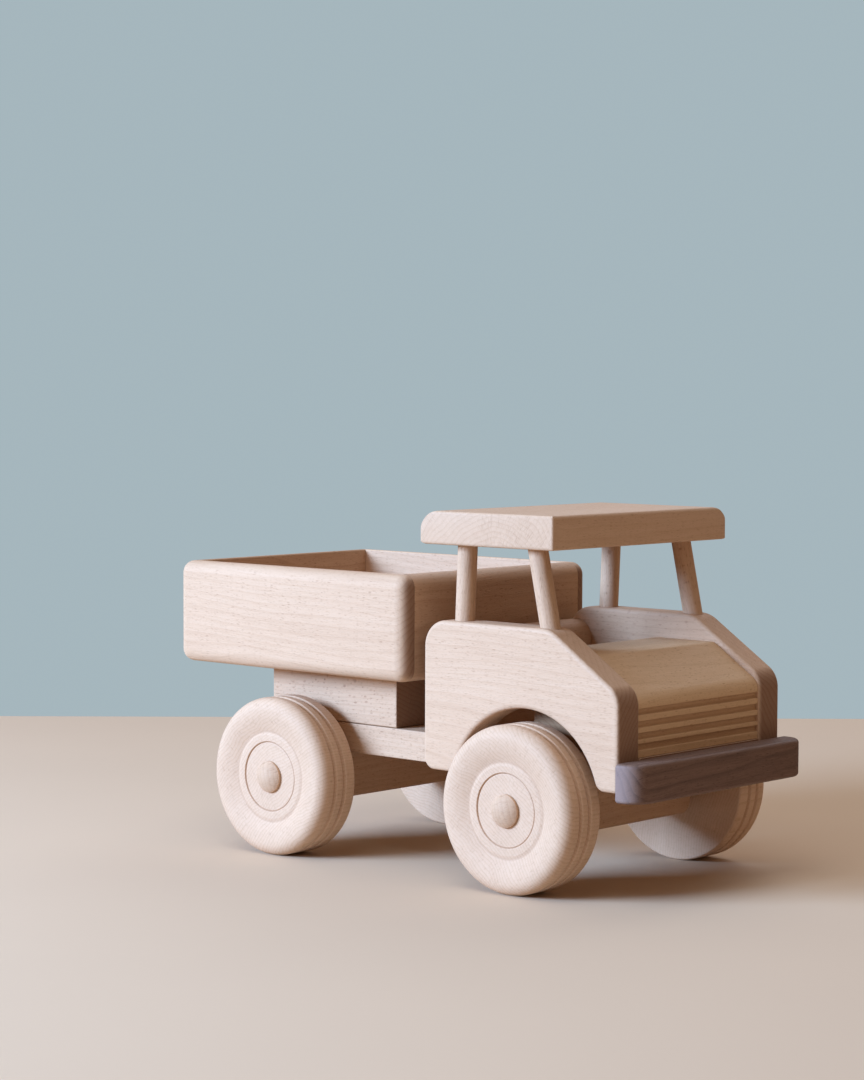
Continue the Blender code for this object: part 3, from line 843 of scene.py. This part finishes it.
def hood():
    """The engine block: flat top, sloping hood and a grille face with four round grooves."""
    node = "hood_block"
    low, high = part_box(node)
    slope_start = high.x - 0.0266    # where the flat top ends
    nose_z = high.z - (high.x - slope_start) * tan(HOOD_ANGLE)
    grooves = [low.z + rise for rise in (0.0048, 0.0098, 0.0153, 0.0211)]
    groove_radius = 0.0015
    groove_lip = 0.0004
    outline = [(low.x, low.z), (high.x, low.z)]
    for height in grooves:
        # a scallop's edge runs along +a with the wood above it; here it runs up, wood behind
        for along, inward in scallop((0.0, 0.0), groove_radius, groove_lip, 0.0, 14, 4):
            outline.append((high.x - inward, height + along))
    # the nose's round starts just above the top groove
    groove_end = grooves[-1] + sqrt((groove_radius + groove_lip) ** 2 - groove_lip ** 2)
    nose_radius = (nose_z - groove_end - 0.0002) * tan(pi / 4 + HOOD_ANGLE / 2)
    top = rounded([
        (high.x, groove_end, 0),
        (high.x, nose_z, nose_radius),
        (slope_start, high.z, 0.0040),
        (low.x, high.z, 0.0015),
        (low.x, low.z, 0),
    ])
    outline += top[1:-1]
    engine = slab(node, outline, "Y", low.y - TIGHT, high.y + TIGHT, 0.00015, steps=3)
    show(engine, node, wood(
        node, middle_of(node), (0.01, 1, 0.0), (0.75, 0, 0.8), pith=0.11, tone=-0.02, rays=0.9,
        tint=(1.04, 1.05, 0.93)))


def seat_back():
    """The upright block at the back of the cab, its top front edge well rounded."""
    node = "seat_back"
    low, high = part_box(node)
    outline = rounded([
        (low.x, low.z, 0.0004), (high.x, low.z, 0.0004),
        (high.x, high.z, 0.0085), (low.x, high.z, 0.0030)])
    rest = slab(node, outline, "Y", low.y - TIGHT, high.y + TIGHT, 0.0002, steps=3)
    show(rest, node, wood(node, middle_of(node), (0, 1, 0), (1, 0, 0.2), tone=0.10))


# ---- dump bed ----
def dump_bed():
    """A rounded box sawn into its four walls and floor, on its tipper block and hinge lug."""
    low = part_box("bed_right_side")[0]
    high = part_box("bed_left_side")[1]
    over = 0.004
    lip = 0.0010                 # round of the walls' inner top edges

    def panel(node, outline, axis, start, end, material):
        """A board from wall to wall, its outer faces and edges those of the whole bed."""
        piece = slab(node, outline, axis, start, end)
        form = block("bed form", low, high, BED_EDGE, segments=10)
        cut(piece, form, "INTERSECT")
        mark_bed_edges(piece, low, high)
        show(piece, node, material)

    def wall_section(outer, inner):
        """Section of a wall between two faces, its inner top edge eased."""
        if outer < inner:
            return rounded([(outer, low.z - over, 0), (inner, low.z - over, 0),
                            (inner, high.z, lip), (outer, high.z, 0)], steps=6)
        return rounded([(inner, low.z - over, 0), (outer, low.z - over, 0),
                        (outer, high.z, 0), (inner, high.z, lip)], steps=6)

    for side, hand in HANDS:
        node = f"bed_{hand}_side"
        box_low, box_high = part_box(node)
        outer = (box_low.y if side < 0 else box_high.y) + side * over
        inner = box_high.y if side < 0 else box_low.y
        panel(node, wall_section(outer, inner), "X", low.x - over, high.x + over, wood(
            node, middle_of(node), (1, 0, -0.02), (0, side, 0.75), pith=0.085,
            rays=0.8, tone=-0.02 if side < 0 else 0.03))
    for end, way in (("front", 1), ("rear", -1)):
        node = f"bed_{end}_wall"
        box_low, box_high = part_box(node)
        outer = (box_high.x if way > 0 else box_low.x) + way * over
        inner = box_low.x if way > 0 else box_high.x
        panel(node, wall_section(outer, inner), "Y", box_low.y - TIGHT, box_high.y + TIGHT, wood(
            node, middle_of(node), (0, 1, 0.02), (way, 0, 0.4), pith=0.10, tone=0.16))

    node = "bed_floor"
    floor_low, floor_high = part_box(node)
    show(block(node, floor_low, floor_high, 0.0003, segments=2), node, wood(
        node, middle_of(node), (1, 0, 0), (0, 0.3, 1), pith=0.12))
    tipper_block()
    hinge_lug()


def mark_bed_edges(piece, low, high):
    """Wear and a painted highlight along the rounded edges of the whole bed, from where each point lies on them.
    """
    layer = piece.data.attributes["sheen_wear_and_groove_shade"].data
    full = 1 - cos(pi / 4)
    middle = (low + high) / 2
    core = (high - low) / 2 - Vector((BED_EDGE,) * 3)
    for vertex in piece.data.vertices:
        from_middle = vertex.co - middle
        beyond = Vector([max(0.0, abs(from_middle[i]) - core[i]) for i in range(3)])
        if beyond.length > BED_EDGE * 0.9:
            steepest = max(beyond) / beyond.length
            layer[vertex.index].value = min(1.0, (1 - steepest) / full)


def tipper_block():
    """The spacer under the bed, with a mortise for the lug."""
    node = "tipper_block"
    low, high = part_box(node)
    lug_low, lug_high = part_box("hinge_lug")
    spacer = block(node, low, high, 0.0007, segments=3)
    wear_and_sheen_from_normals(spacer)
    cut(spacer, block("mortise", (lug_low.x - GLUED, lug_low.y - GLUED, low.z - 0.01),
                      (lug_high.x + GLUED, lug_high.y + GLUED, lug_high.z + GAP), 0.0002))
    show(spacer, node, wood(
        node, middle_of(node), (1, 0, 0), (0, 0.72, 0.69), pith=0.09, rays=1.2))


def hinge_lug():
    """The ear that turns on the hinge pin, its lower end round."""
    node = "hinge_lug"
    low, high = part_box(node)
    hinge = Vector(JOINTS["bed_tip"]["pos_m"])
    radius = (high.x - low.x) / 2
    outline = arc((hinge.x, hinge.z), radius, -pi, 0.0, 32)
    outline += [(high.x, high.z), (low.x, high.z)]
    ear = slab(node, outline, "Y", low.y, high.y, 0.0006)
    pin_low, pin_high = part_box("hinge_pin")
    pin_radius = (pin_high.z - pin_low.z) / 2
    over = 0.005
    cut(ear, cylinder("lug bore", (hinge.x, low.y - over, hinge.z),
                      (hinge.x, high.y + over, hinge.z), pin_radius + GAP))
    show(ear, node, wood(node, middle_of(node), (0, 0, 1), (1, 0, 0), tone=0.08))


# ---- stage ----
def plain(name, colour, roughness, grain):
    """A plain painted surface, with the faintest unevenness."""
    material = bpy.data.materials.new(name)
    material.use_nodes = True
    nodes = Nodes(material.node_tree)
    shader = material.node_tree.nodes["Principled BSDF"]
    where = nodes.add("TexCoord", {}).outputs["Object"]
    uneven = nodes.noise(where, (3.0, 3.0, 3.0), detail=3.0)
    darker = tuple(value * (1 - grain) for value in colour)
    tint = nodes.mix(uneven, (*colour, 1.0), (*darker, 1.0))
    material.node_tree.links.new(tint, shader.inputs["Base Color"])
    shader.inputs["Roughness"].default_value = roughness
    shader.inputs["Specular IOR Level"].default_value = 0.2
    return material


def stage():
    """A plain pale table top that the truck stands on, square to the camera."""
    half = 0.55
    shape = bmesh.new()
    bmesh.ops.create_grid(shape, x_segments=1, y_segments=1, size=half)
    bmesh.ops.rotate(shape, verts=shape.verts, matrix=Matrix.Rotation(CAMERA_AZIMUTH, 3, "Z"))
    floor = new_object("floor", shape)
    floor.data.materials.append(plain("pale floor", (0.68, 0.50, 0.34), 0.90, 0.08))


def area_light(name, azimuth, elevation, distance, size, energy, colour):
    """A soft light at a direction and distance from the truck's middle."""
    centre = (CAD_BOX[0] + CAD_BOX[1]) / 2
    turn = radians(azimuth)
    rise = radians(elevation)
    towards = Vector((sin(turn) * cos(rise), -cos(turn) * cos(rise), sin(rise)))
    lamp = bpy.data.lights.new(name, "AREA")
    lamp.shape = "RECTANGLE"
    lamp.size = size[0]
    lamp.size_y = size[1]
    lamp.energy = energy
    lamp.color = colour
    obj = bpy.data.objects.new(name, lamp)
    obj.location = centre + towards * distance
    obj.rotation_mode = "QUATERNION"
    obj.rotation_quaternion = towards.to_track_quat("Z", "Y")
    obj.visible_camera = False
    bpy.context.scene.collection.objects.link(obj)


def lights():
    """A soft window-like key from the truck's right rear, faint fills, and a dim warm room."""
    area_light("key", -27, 18, 1.9, (0.9, 0.6), 94, (0.395, 0.615, 1.0))
    area_light("sky", 10, 68, 2.0, (1.2, 1.2), 12, (0.76, 0.86, 1.0))
    area_light("far fill", 200, 45, 2.2, (1.6, 1.6), 16, (0.75, 0.85, 1.0))
    world = bpy.data.worlds.new("room")
    world.use_nodes = True
    bpy.context.scene.world = world
    nodes = Nodes(world.node_tree)
    background = world.node_tree.nodes["Background"]
    seen = nodes.add("LightPath", {}).outputs["Is Camera Ray"]
    tint = nodes.mix(seen, (0.285, 0.215, 0.170, 1.0), (0.38, 0.47, 0.51, 1.0))
    world.node_tree.links.new(tint, background.inputs["Color"])
    background.inputs["Strength"].default_value = 1.0


def camera():
    """The photograph's viewpoint: low, off the truck's front right corner, with a long lens."""
    azimuth = CAMERA_AZIMUTH
    elevation = radians(3.44)
    roll = radians(0.19)
    distance = 1.335
    aim = Vector((-0.0078, -0.0308, 0.1608))
    back = Vector((sin(azimuth) * cos(elevation), -cos(azimuth) * cos(elevation),
                   sin(elevation)))
    right = (-back).cross(Vector((0, 0, 1))).normalized()
    up = back.cross(right)
    tilted_right = right * cos(roll) + up * sin(roll)
    tilted_up = up * cos(roll) - right * sin(roll)
    turn = Matrix((tilted_right, tilted_up, back)).transposed().to_4x4()
    lens = bpy.data.cameras.new("camera")
    lens.lens = 89.42            # millimetres, on a 36 mm long side
    lens.sensor_width = 36.0
    lens.clip_start = 0.05
    lens.clip_end = 60.0
    obj = bpy.data.objects.new("camera", lens)
    obj.matrix_world = Matrix.Translation(aim + back * distance) @ turn
    bpy.context.scene.collection.objects.link(obj)
    bpy.context.scene.camera = obj


camera()
lights()
stage()
chassis()
bumper()
for beam_end in ENDS:
    axle_block(beam_end)
wheels()
cab()
dump_bed()
bpy.context.scene.view_settings.view_transform = "Standard"
